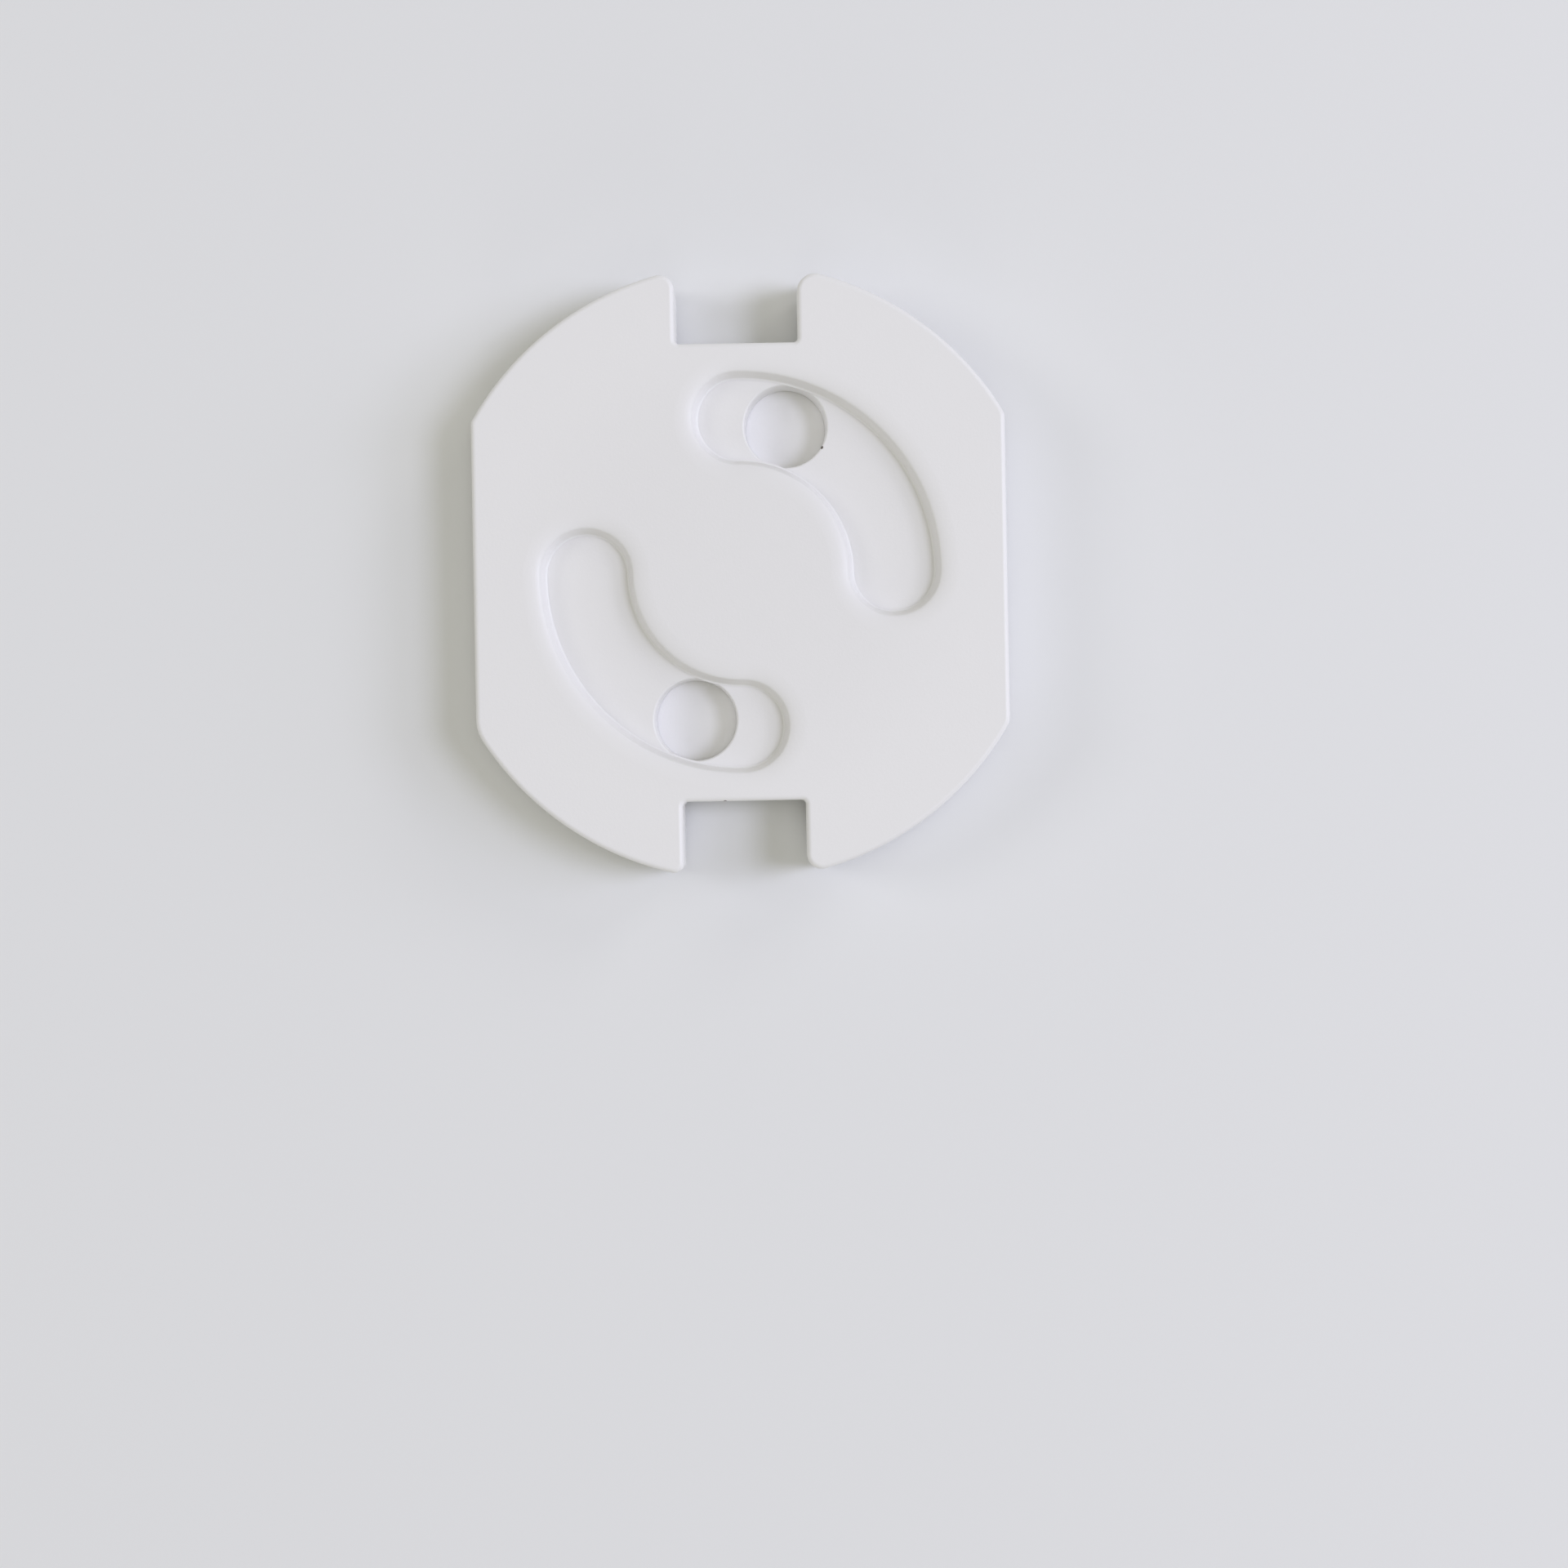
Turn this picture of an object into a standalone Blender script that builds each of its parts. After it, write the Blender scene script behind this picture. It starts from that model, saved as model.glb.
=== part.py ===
"""Twist-type safety cover for a round two-pin earthed wall socket.

The cover is stuck into the socket's round recess. A plug's two pins go into the shutter's
holes through the curved slots of the face, the plug is turned a quarter turn clockwise, and
the holes then stand over the socket's contacts. Left closed, the shutter covers them.

Metres. +Z leaves the front face, +Y points at the notch that is uppermost in use, and the
origin is the centre of the plane on which the adhesive pads rest.
"""

import math

import bmesh
import bpy
from mathutils import Matrix

# What the plug sets: the pitch of its pins, and the holes and slots that let them in.
PIN_PITCH = 0.0190
PIN_HOLE_DIAMETER = 0.0052
SLOT_SIDE_EASE = 0.00015
CONTACT_EASE = 0.0004
TRAVEL = math.radians(90)
OFF_CLOSED = math.radians(18)

# The shutter: the rim outside its holes, and the ears that stop it against the notch walls.
SHUTTER_RIM = 0.0006
EAR_LENGTH = 0.00235
SHUTTER_THICKNESS = 0.0009
HUB_WALL = 0.00155
PIVOT_RADIUS = 0.0015

# Walls of the other mouldings, and the collars under the face round its slots.
FACE_THICKNESS = 0.00125
WALL = 0.0011
COLLAR_WALL = 0.0010
COLLAR_HEIGHT = 0.0006
PLATE_THICKNESS = 0.00105

# Bosses in the lobes, and the plate's pegs that press into them.
PEG_RADIUS = 0.0006
PEG_HEADROOM = 0.0010
BOSS_WALL = 0.00045
BOSS_ANGLE = math.radians(52)
BOSS_INTO_WALL = 0.0002
EAR_TO_BOSS = 0.00065

# The notches for the earth clips, and the rounding of corners and edges.
NOTCH_WIDTH = 0.0076
NOTCH_FILLET = 0.0003
EDGE_ROUND = 0.00035
SLOT_ROUND = 0.00025
BASE_ROUND = 0.00015
PIN_LEAD_IN = 0.0003

# The corner of each lobe at its notch and at its flat: upper right, upper left, lower left, lower right.
LOBE_FILLETS = (0.0009, 0.0006, 0.0004, 0.0007)
FLAT_FILLETS = (0.0010, 0.0005, 0.0025, 0.0012)

# Double-sided foam pads on the back.
PAD_THICKNESS = 0.0008
PAD_WIDTH = 0.0040
PAD_MARGIN = 0.0003
PAD_HALF_SPREAD = math.radians(40)
POCKET_DEPTH = 0.0003
POCKET_SIDE_GAP = 0.0003

# Clearances.
SEAT_GAP = 0.0003
RUNNING_GAP = 0.0003
BORE_GAP = 0.00015
PLATE_GAP = 0.0003

# Radii and distances from the axis, worked out from the pins outwards.
PIN_RADIUS = PIN_PITCH / 2
SLOT_WIDTH = PIN_HOLE_DIAMETER + 2 * SLOT_SIDE_EASE
CONTACT_HOLE_RADIUS = PIN_HOLE_DIAMETER / 2 + CONTACT_EASE
HUB_RADIUS = PIVOT_RADIUS + BORE_GAP + HUB_WALL
SHUTTER_RADIUS = PIN_RADIUS + PIN_HOLE_DIAMETER / 2 + SHUTTER_RIM
EAR_RADIUS = SHUTTER_RADIUS + EAR_LENGTH
NOTCH_FLOOR = SHUTTER_RADIUS + RUNNING_GAP + WALL
FLAT = EAR_RADIUS + RUNNING_GAP + WALL
BOSS_RADIUS = PEG_RADIUS + BORE_GAP + BOSS_WALL
BOSS_RING = EAR_RADIUS + EAR_TO_BOSS + BOSS_RADIUS
DISC_RADIUS = BOSS_RING + BOSS_RADIUS - BOSS_INTO_WALL + WALL
STOP_OFFSET = NOTCH_WIDTH / 2 + WALL + BORE_GAP
PAD_RADIUS = NOTCH_FLOOR - WALL - PLATE_GAP - PAD_MARGIN - POCKET_SIDE_GAP - PAD_WIDTH / 2
SHUTTER_ANGLE = TRAVEL - OFF_CLOSED

# Heights that follow from the stack of pieces, from the pads up.
PLATE_BOTTOM = PAD_THICKNESS + SEAT_GAP - POCKET_DEPTH
PLATE_TOP = PLATE_BOTTOM + PLATE_THICKNESS
SHUTTER_BOTTOM = PLATE_TOP + RUNNING_GAP
SHUTTER_TOP = SHUTTER_BOTTOM + SHUTTER_THICKNESS
COLLAR_BOTTOM = SHUTTER_TOP + RUNNING_GAP
FACE_UNDERSIDE = COLLAR_BOTTOM + COLLAR_HEIGHT
FACE_TOP = FACE_UNDERSIDE + FACE_THICKNESS
PEG_TOP = FACE_UNDERSIDE - PEG_HEADROOM

# The signs of X and Y in each quarter, anticlockwise from the upper right.
QUARTERS = ((1, 1), (-1, 1), (-1, -1), (1, -1))

# The two slots, and the two pads, each with the angle at which it starts or has its middle.
SLOT_STARTS = {"upper": 0.0, "lower": math.pi}
PAD_MIDDLES = {"upper": math.pi / 2, "lower": -math.pi / 2}

# Facets: the turn between two points of a wide arc, a slot's or hole's end, and a small one.
WIDE_STEP = math.radians(3)
END_STEP = math.radians(9)
SMALL_STEP = math.radians(15)
OVERCUT = 0.0005
SHARP_ANGLE = math.radians(35)


def arc(centre, radius, start, end, step):
    """Points of an arc from one angle to another, both ends included."""
    count = max(2, math.ceil(abs(end - start) / step - 1e-6))
    angles = [start + (end - start) * i / count for i in range(count + 1)]
    return [(centre[0] + radius * math.cos(a), centre[1] + radius * math.sin(a)) for a in angles]


def polar(radius, angle):
    """The point at that radius and angle about the cover's axis."""
    return (radius * math.cos(angle), radius * math.sin(angle))


def turned(points, angle):
    """The same points turned about the cover's axis."""
    return [
        (x * math.cos(angle) - y * math.sin(angle), x * math.sin(angle) + y * math.cos(angle))
        for x, y in points
    ]


def lobe(inset, lobe_fillet, flat_fillet):
    """A lobe's outline in the upper right quarter, from the flat to the middle of the notch's floor."""
    radius = DISC_RADIUS - inset
    flat = FLAT - inset
    side = NOTCH_WIDTH / 2 + inset
    floor = NOTCH_FLOOR - inset
    flat_fillet = max(flat_fillet - inset, EDGE_ROUND)
    lobe_fillet = max(lobe_fillet - inset, EDGE_ROUND)
    flat_rise = math.sqrt((radius - flat_fillet) ** 2 - (flat - flat_fillet) ** 2)
    lobe_rise = math.sqrt((radius - lobe_fillet) ** 2 - (side + lobe_fillet) ** 2)
    flat_turn = math.atan2(flat_rise, flat - flat_fillet)
    lobe_turn = math.atan2(lobe_rise, side + lobe_fillet)
    notch_corner = (side - NOTCH_FILLET, floor + NOTCH_FILLET)
    return [
        *arc((flat - flat_fillet, flat_rise), flat_fillet, 0.0, flat_turn, SMALL_STEP),
        *arc((0.0, 0.0), radius, flat_turn, lobe_turn, WIDE_STEP)[1:-1],
        *arc((side + lobe_fillet, lobe_rise), lobe_fillet, lobe_turn, math.pi, SMALL_STEP),
        *arc(notch_corner, NOTCH_FILLET, 0.0, -math.pi / 2, SMALL_STEP),
    ]


def cover_outline(inset=0.0):
    """The cover's outline, or one that runs inside it at a set distance, lobe after lobe."""
    outline = []
    for (across, up), fillets in zip(QUARTERS, zip(LOBE_FILLETS, FLAT_FILLETS)):
        points = [(across * x, up * y) for x, y in lobe(inset, *fillets)]
        outline += points if across == up else points[::-1]
    return outline


def kidney(radius, half_width, start, end):
    """A round-ended band that follows an arc about the cover's axis."""
    return [
        *arc((0.0, 0.0), radius + half_width, start, end, WIDE_STEP),
        *arc(polar(radius, end), half_width, end, end + math.pi, END_STEP)[1:-1],
        *arc((0.0, 0.0), radius - half_width, end, start, WIDE_STEP),
        *arc(polar(radius, start), half_width, start + math.pi, start + 2 * math.pi, END_STEP)[1:-1],
    ]


def slot_outline(turn, grow=0.0):
    """The kidney that a pin sweeps as the plug turns, or one that runs outside it."""
    return kidney(PIN_RADIUS, SLOT_WIDTH / 2 + grow, turn, turn + TRAVEL)


def pad_outline(middle, grow=0.0):
    """A round-ended crescent of foam tape that clears the contact holes, or its pocket."""
    return kidney(PAD_RADIUS, PAD_WIDTH / 2 + grow, middle - PAD_HALF_SPREAD, middle + PAD_HALF_SPREAD)


def shutter_outline():
    """The shutter's disc with its two ears, its pin holes lying on the X axis.

    An ear's edge lies along the notch's side wall when the shutter is turned to that end, so
    the edge runs at the stop's distance from the axis, half the travel off the ear's middle.
    """

    def edge_angle(radius):
        return math.acos(STOP_OFFSET / radius) - TRAVEL / 2

    root, tip = edge_angle(SHUTTER_RADIUS), edge_angle(EAR_RADIUS)
    half_turn = [
        *arc((0.0, 0.0), EAR_RADIUS, -tip, tip, WIDE_STEP),
        *arc((0.0, 0.0), SHUTTER_RADIUS, root, math.pi - root, WIDE_STEP),
    ]
    return turned(half_turn + turned(half_turn, math.pi), -TRAVEL / 2)


def as_mesh(obj, collection):
    """The object's evaluated shape as a closed mesh object of the same name and place."""
    graph = bpy.context.evaluated_depsgraph_get()
    name, place = obj.name, obj.matrix_world.copy()
    mesh = bpy.data.meshes.new_from_object(obj.evaluated_get(graph))
    bpy.data.objects.remove(obj)
    made = bpy.data.objects.new(name, mesh)
    collection.objects.link(made)
    made.matrix_world = place
    return made


def tidy_mesh(obj):
    """Joins the loose caps to the sides, and makes each flat cap one face."""
    work = bmesh.new()
    work.from_mesh(obj.data)
    bmesh.ops.remove_doubles(work, verts=work.verts, dist=1e-7)
    bmesh.ops.dissolve_limit(
        work, angle_limit=math.radians(0.5), verts=work.verts, edges=work.edges, use_dissolve_boundaries=False
    )
    bmesh.ops.recalc_face_normals(work, faces=work.faces)
    work.to_mesh(obj.data)
    work.free()


def prism(name, outline, bottom, top, collection):
    """A flat outline, as a filled 2D curve extruded from one height to another."""
    curve = bpy.data.curves.new(name, "CURVE")
    curve.dimensions = "2D"
    curve.fill_mode = "BOTH"
    curve.extrude = (top - bottom) / 2
    spline = curve.splines.new("POLY")
    spline.points.add(len(outline) - 1)
    for point, (x, y) in zip(spline.points, outline):
        point.co = (x, y, 0.0, 1.0)
    spline.use_cyclic_u = True
    obj = bpy.data.objects.new(name, curve)
    collection.objects.link(obj)
    obj.location.z = (bottom + top) / 2
    bpy.context.view_layer.update()
    made = as_mesh(obj, collection)
    tidy_mesh(made)
    return made


def cylinder(name, radius, bottom, top, centre, collection, top_radius=None):
    """An upright round bar or hole, or a cone where its top has a radius of its own."""
    work = bmesh.new()
    bmesh.ops.create_cone(
        work,
        cap_ends=True,
        segments=round(2 * math.pi / (END_STEP if radius > BOSS_RADIUS else SMALL_STEP)),
        radius1=radius,
        radius2=radius if top_radius is None else top_radius,
        depth=top - bottom,
        matrix=Matrix.Translation((*centre, (bottom + top) / 2)),
    )
    mesh = bpy.data.meshes.new(name)
    work.to_mesh(mesh)
    work.free()
    obj = bpy.data.objects.new(name, mesh)
    collection.objects.link(obj)
    return obj


def combine(target, tool, operation):
    """Adds a Boolean by a helper object, which neither renders nor becomes a piece."""
    tool.hide_render = True
    tool.display_type = "WIRE"
    modifier = target.modifiers.new(tool.name, "BOOLEAN")
    modifier.operation = operation
    modifier.object = tool
    modifier.solver = "EXACT"


def round_rim(obj, height, width, chosen):
    """Rounds the edges between the flat face at that height and the walls under it."""
    work = bmesh.new()
    work.from_mesh(obj.data)
    rim = [
        edge
        for edge in work.edges
        if all(abs(v.co.z + obj.location.z - height) < 1e-6 for v in edge.verts)
        and len(edge.link_faces) == 2
        and edge.calc_face_angle() > SHARP_ANGLE
        and chosen((edge.verts[0].co + edge.verts[1].co) / 2)
    ]
    bmesh.ops.bevel(
        work, geom=rim, offset=width, segments=3, profile=0.5, affect="EDGES", clamp_overlap=True, material=-1
    )
    work.to_mesh(obj.data)
    work.free()


def finish_shading(obj):
    """Round surfaces shade smoothly, and their edges stay crisp."""
    obj.data.shade_smooth()
    obj.data.set_sharp_from_angle(angle=SHARP_ANGLE)


def plastic(name, colour, roughness):
    """An opaque moulded plastic or foam."""
    material = bpy.data.materials.new(name)
    material.use_nodes = True
    shader = material.node_tree.nodes["Principled BSDF"]
    shader.inputs["Base Color"].default_value = (*colour, 1.0)
    shader.inputs["Roughness"].default_value = roughness
    shader.inputs["Metallic"].default_value = 0.0
    return material


def in_slot(point):
    """Whether a point of a rim belongs to a slot and not to the outline."""
    return point.xy.length < (PIN_RADIUS + SLOT_WIDTH / 2 + NOTCH_FLOOR) / 2


def build_face_shell(parts, helpers):
    """The moulded face: a cup with two collared slots and four bosses inside."""
    shell = prism("face_shell", cover_outline(), PLATE_BOTTOM, FACE_TOP, parts)
    cavity = prism("cavity", cover_outline(WALL), PLATE_BOTTOM - OVERCUT, FACE_UNDERSIDE, helpers)
    combine(shell, cavity, "DIFFERENCE")
    for name, turn in SLOT_STARTS.items():
        outline = slot_outline(turn, COLLAR_WALL)
        collar = prism(f"{name}_collar", outline, COLLAR_BOTTOM, FACE_UNDERSIDE + OVERCUT, helpers)
        combine(shell, collar, "UNION")
    for i, angle in enumerate(boss_angles()):
        boss = cylinder(
            f"boss_{i}", BOSS_RADIUS, PLATE_TOP + SEAT_GAP, FACE_UNDERSIDE + OVERCUT, polar(BOSS_RING, angle), helpers
        )
        combine(shell, boss, "UNION")
        socket = cylinder(
            f"socket_{i}",
            PEG_RADIUS + BORE_GAP,
            PLATE_TOP - OVERCUT,
            PEG_TOP + SEAT_GAP,
            polar(BOSS_RING, angle),
            helpers,
        )
        combine(shell, socket, "DIFFERENCE")
    for name, turn in SLOT_STARTS.items():
        slot = prism(f"{name}_slot", slot_outline(turn), COLLAR_BOTTOM - OVERCUT, FACE_TOP + OVERCUT, helpers)
        combine(shell, slot, "DIFFERENCE")
    shell = as_mesh(shell, parts)
    round_rim(shell, FACE_TOP, EDGE_ROUND, lambda point: not in_slot(point))
    round_rim(shell, FACE_TOP, SLOT_ROUND, in_slot)
    round_rim(shell, PLATE_BOTTOM, BASE_ROUND, lambda point: True)
    return shell


def build_shutter(parts, helpers):
    """The turning disc: two pin holes, two ears that stop against the notch walls, and a hub."""
    shutter = prism("shutter_disc", shutter_outline(), SHUTTER_BOTTOM, SHUTTER_TOP, parts)
    hub = cylinder(
        "hub", HUB_RADIUS, SHUTTER_BOTTOM + OVERCUT, FACE_UNDERSIDE - RUNNING_GAP, (0.0, 0.0), helpers
    )
    combine(shutter, hub, "UNION")
    bore = cylinder(
        "hub_bore", PIVOT_RADIUS + BORE_GAP, SHUTTER_BOTTOM - OVERCUT, FACE_UNDERSIDE + OVERCUT, (0.0, 0.0), helpers
    )
    combine(shutter, bore, "DIFFERENCE")
    for name, angle in (("right", 0.0), ("left", math.pi)):
        hole = cylinder(
            f"shutter_hole_{name}",
            PIN_HOLE_DIAMETER / 2,
            SHUTTER_BOTTOM - OVERCUT,
            SHUTTER_TOP + OVERCUT,
            polar(PIN_RADIUS, angle),
            helpers,
        )
        combine(shutter, hole, "DIFFERENCE")
    shutter = as_mesh(shutter, parts)
    shutter.rotation_euler.z = SHUTTER_ANGLE
    return shutter


def build_back_plate(parts, helpers):
    """The plate that closes the back: contact holes, the pivot and four press pegs."""
    plate = prism("back_plate", cover_outline(WALL + PLATE_GAP), PLATE_BOTTOM, PLATE_TOP, parts)
    pivot = cylinder(
        "pivot", PIVOT_RADIUS, PLATE_TOP - OVERCUT, FACE_UNDERSIDE - RUNNING_GAP, (0.0, 0.0), helpers
    )
    combine(plate, pivot, "UNION")
    for i, angle in enumerate(boss_angles()):
        peg = cylinder(
            f"peg_{i}", PEG_RADIUS, PLATE_TOP - OVERCUT, PEG_TOP, polar(BOSS_RING, angle), helpers
        )
        combine(plate, peg, "UNION")
    for name, angle in (("right", 0.0), ("left", math.pi)):
        centre = polar(PIN_RADIUS, angle)
        radius = CONTACT_HOLE_RADIUS
        hole = cylinder(
            f"contact_hole_{name}", radius, PLATE_BOTTOM - OVERCUT, PLATE_TOP + OVERCUT, centre, helpers
        )
        combine(plate, hole, "DIFFERENCE")
        lead_in = cylinder(
            f"lead_in_{name}",
            radius,
            PLATE_TOP - PIN_LEAD_IN,
            PLATE_TOP + PIN_LEAD_IN,
            centre,
            helpers,
            top_radius=radius + 2 * PIN_LEAD_IN,
        )
        combine(plate, lead_in, "DIFFERENCE")
    for name, middle in PAD_MIDDLES.items():
        outline = pad_outline(middle, POCKET_SIDE_GAP)
        bottom = PLATE_BOTTOM - OVERCUT
        pocket = prism(f"{name}_pad_pocket", outline, bottom, PLATE_BOTTOM + POCKET_DEPTH, helpers)
        combine(plate, pocket, "DIFFERENCE")
    return plate


def build_pads(parts):
    """The two crescents of foam tape, above and below the contact holes."""
    return [
        prism(f"adhesive_pad_{name}", pad_outline(middle), 0.0, PAD_THICKNESS, parts)
        for name, middle in PAD_MIDDLES.items()
    ]


def boss_angles():
    """One boss in each of the four lobes."""
    return [BOSS_ANGLE, math.pi - BOSS_ANGLE, math.pi + BOSS_ANGLE, 2 * math.pi - BOSS_ANGLE]


def main():
    """Clears the scene and builds the cover in its own collection."""
    for obj in list(bpy.data.objects):
        bpy.data.objects.remove(obj)
    parts = bpy.data.collections.new("socket_safety_cover")
    helpers = bpy.data.collections.new("helpers")
    for collection in (parts, helpers):
        bpy.context.scene.collection.children.link(collection)
    shell_plastic = plastic("shell_plastic", (0.76, 0.76, 0.74), 0.42)
    shutter_plastic = plastic("shutter_plastic", (0.76, 0.76, 0.73), 0.45)
    plate_plastic = plastic("plate_plastic", (0.74, 0.74, 0.72), 0.50)
    foam = plastic("pad_foam", (0.82, 0.82, 0.80), 0.90)
    pieces = {
        build_face_shell(parts, helpers): shell_plastic,
        build_shutter(parts, helpers): shutter_plastic,
        build_back_plate(parts, helpers): plate_plastic,
    }
    pieces.update({pad: foam for pad in build_pads(parts)})
    for obj, material in pieces.items():
        obj.data.materials.clear()
        obj.data.materials.append(material)
        finish_shading(obj)


main()
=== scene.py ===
"""Looks of a twist-type socket safety cover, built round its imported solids.

The cover lies on its back on a pale floor, seen from straight above. Every piece is modelled
again with finely rounded edges and dressed in white moulded plastic or foam tape. All sizes
are in metres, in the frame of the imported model: +Z out of the face, +Y towards the upper notch.
"""

from __future__ import annotations

import logging
import math
from dataclasses import dataclass, field, replace
from enum import Enum
from typing import Callable, Iterable, Mapping, Sequence

import bmesh
import bpy
from mathutils import Matrix, Vector

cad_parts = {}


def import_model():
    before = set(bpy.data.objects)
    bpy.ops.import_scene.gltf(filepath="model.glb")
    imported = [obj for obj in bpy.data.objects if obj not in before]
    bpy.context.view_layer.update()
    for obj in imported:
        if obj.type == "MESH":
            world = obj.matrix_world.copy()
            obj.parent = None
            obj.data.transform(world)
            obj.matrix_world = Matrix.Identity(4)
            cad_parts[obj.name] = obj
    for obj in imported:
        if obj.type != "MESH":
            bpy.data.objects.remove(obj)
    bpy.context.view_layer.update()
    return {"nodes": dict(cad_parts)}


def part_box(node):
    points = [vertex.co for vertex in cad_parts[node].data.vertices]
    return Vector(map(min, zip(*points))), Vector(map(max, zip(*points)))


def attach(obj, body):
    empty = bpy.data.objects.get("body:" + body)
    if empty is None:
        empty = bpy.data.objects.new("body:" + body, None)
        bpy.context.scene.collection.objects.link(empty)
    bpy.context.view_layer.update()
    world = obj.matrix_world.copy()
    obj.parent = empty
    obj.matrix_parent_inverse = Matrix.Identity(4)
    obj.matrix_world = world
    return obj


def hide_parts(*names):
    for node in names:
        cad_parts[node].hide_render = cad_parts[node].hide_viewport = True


LOG = logging.getLogger("socket_cover")

# Chords stay this close to the arcs that they stand for. On the tightest arcs they cut off no
# more than this share of the radius.
CHORD_ERROR = 0.8e-6
CHORD_LIMIT = 0.5
# Points nearer than this are one, and heights nearer than this are the same.
MERGE_DISTANCE = 2e-7
SAME_HEIGHT = 1e-6
# A cutter runs this far past what it cuts, and a joined solid this far into its neighbour.
OVERCUT = 0.0005
# How much more the large faces count than the small ones in the smoothed normals.
LARGE_FACE_WEIGHT = 100

# The pins stand on a ring of this radius about the cover's axis, half a turn apart.
PIN_RING = 0.0095
BOTH_SIDES = (0.0, math.pi)
QUARTER_TURN = math.radians(90.0)

# What a noise gives in the mean, and the share of a spot's radius within which it is solid.
NOISE_MEAN = 0.5
SPOT_CORE = 0.55
# The mottled tone lies between the first two, and the gain brings it between 0 and 1.
DARKEST_TONE = 0.9
LIGHTEST_TONE = 1.1
TONE_GAIN = 5.0
# The Mix node's sockets for its two colours and its result, which share their names with others.
MIX_COLOURS = (6, 7)
MIX_RESULT = 2
# The bluish white of the lamps on the right, and the fainter one of the lamp on the left.
KEY_COLOUR = (0.955, 0.975, 1.26)
LEFT_COLOUR = (1.0, 1.0, 1.08)

Point = tuple[float, float]
EdgeTest = Callable[[Vector], bool]
AXIS: Point = (0.0, 0.0)


class Body(Enum):
    """The bodies that the pieces ride on."""

    HOUSING = "housing"
    SHUTTER = "shutter"


class Cut(Enum):
    """How one solid is combined with another."""

    JOIN = "UNION"
    REMOVE = "DIFFERENCE"


class Slot(Enum):
    """The record's material slots."""

    SHELL = "shell_plastic"
    SHUTTER = "shutter_plastic"
    PLATE = "plate_plastic"
    FOAM = "pad_foam"


@dataclass(frozen=True)
class Arc:
    """A stretch of circle in the XY plane, from one angle to another about its centre."""

    centre: Point
    radius: float
    start: float
    end: float

    def begin(self) -> Vector:
        """The point at which the arc starts."""
        x, y = self.centre
        across, along = polar(self.radius, self.start)
        return Vector((x + across, y + along, 0.0))

    def steps(self) -> int:
        """How many chords keep to the arc."""
        half = math.acos(1.0 - min(CHORD_ERROR / self.radius, CHORD_LIMIT))
        return max(1, math.ceil(abs(self.end - self.start) / (2.0 * half)))

    def in_quarter(self, across: int, up: int) -> Arc:
        """The arc mirrored into a quarter, drawn so that the outline stays anticlockwise."""
        centre = (across * self.centre[0], up * self.centre[1])
        start, end = self.start, self.end
        if across < 0:
            start, end = math.pi - start, math.pi - end
        if up < 0:
            start, end = -start, -end
        if across != up:
            start, end = end, start
        return Arc(centre, self.radius, start, end)

    def turned(self, angle: float) -> Arc:
        """The arc turned about the cover's axis."""
        x, y = self.centre
        cosine, sine = math.cos(angle), math.sin(angle)
        centre = (x * cosine - y * sine, x * sine + y * cosine)
        return Arc(centre, self.radius, self.start + angle, self.end + angle)


def polar(radius: float, angle: float) -> Point:
    """The point at a radius and an angle about the cover's axis."""
    return radius * math.cos(angle), radius * math.sin(angle)


def at_height(*heights: float) -> EdgeTest:
    """A test that a point passes where it lies at one of the heights."""
    return lambda at: any(abs(at.z - height) < SAME_HEIGHT for height in heights)


def kidney(radius: float, half_width: float, start: float, end: float) -> list[Arc]:
    """The outline of a round-ended band that follows an arc about the cover's axis.

    Args:
        radius: The band's middle radius.
        half_width: Half the band's width, which is also the radius of its ends.
        start: The angle of the first end's centre.
        end: The angle of the last end's centre.

    Returns:
        Its four arcs, anticlockwise.
    """
    return [
        Arc(AXIS, radius + half_width, start, end),
        Arc(polar(radius, end), half_width, end, end + math.pi),
        Arc(AXIS, radius - half_width, end, start),
        Arc(polar(radius, start), half_width, start + math.pi, start + 2.0 * math.pi),
    ]


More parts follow.
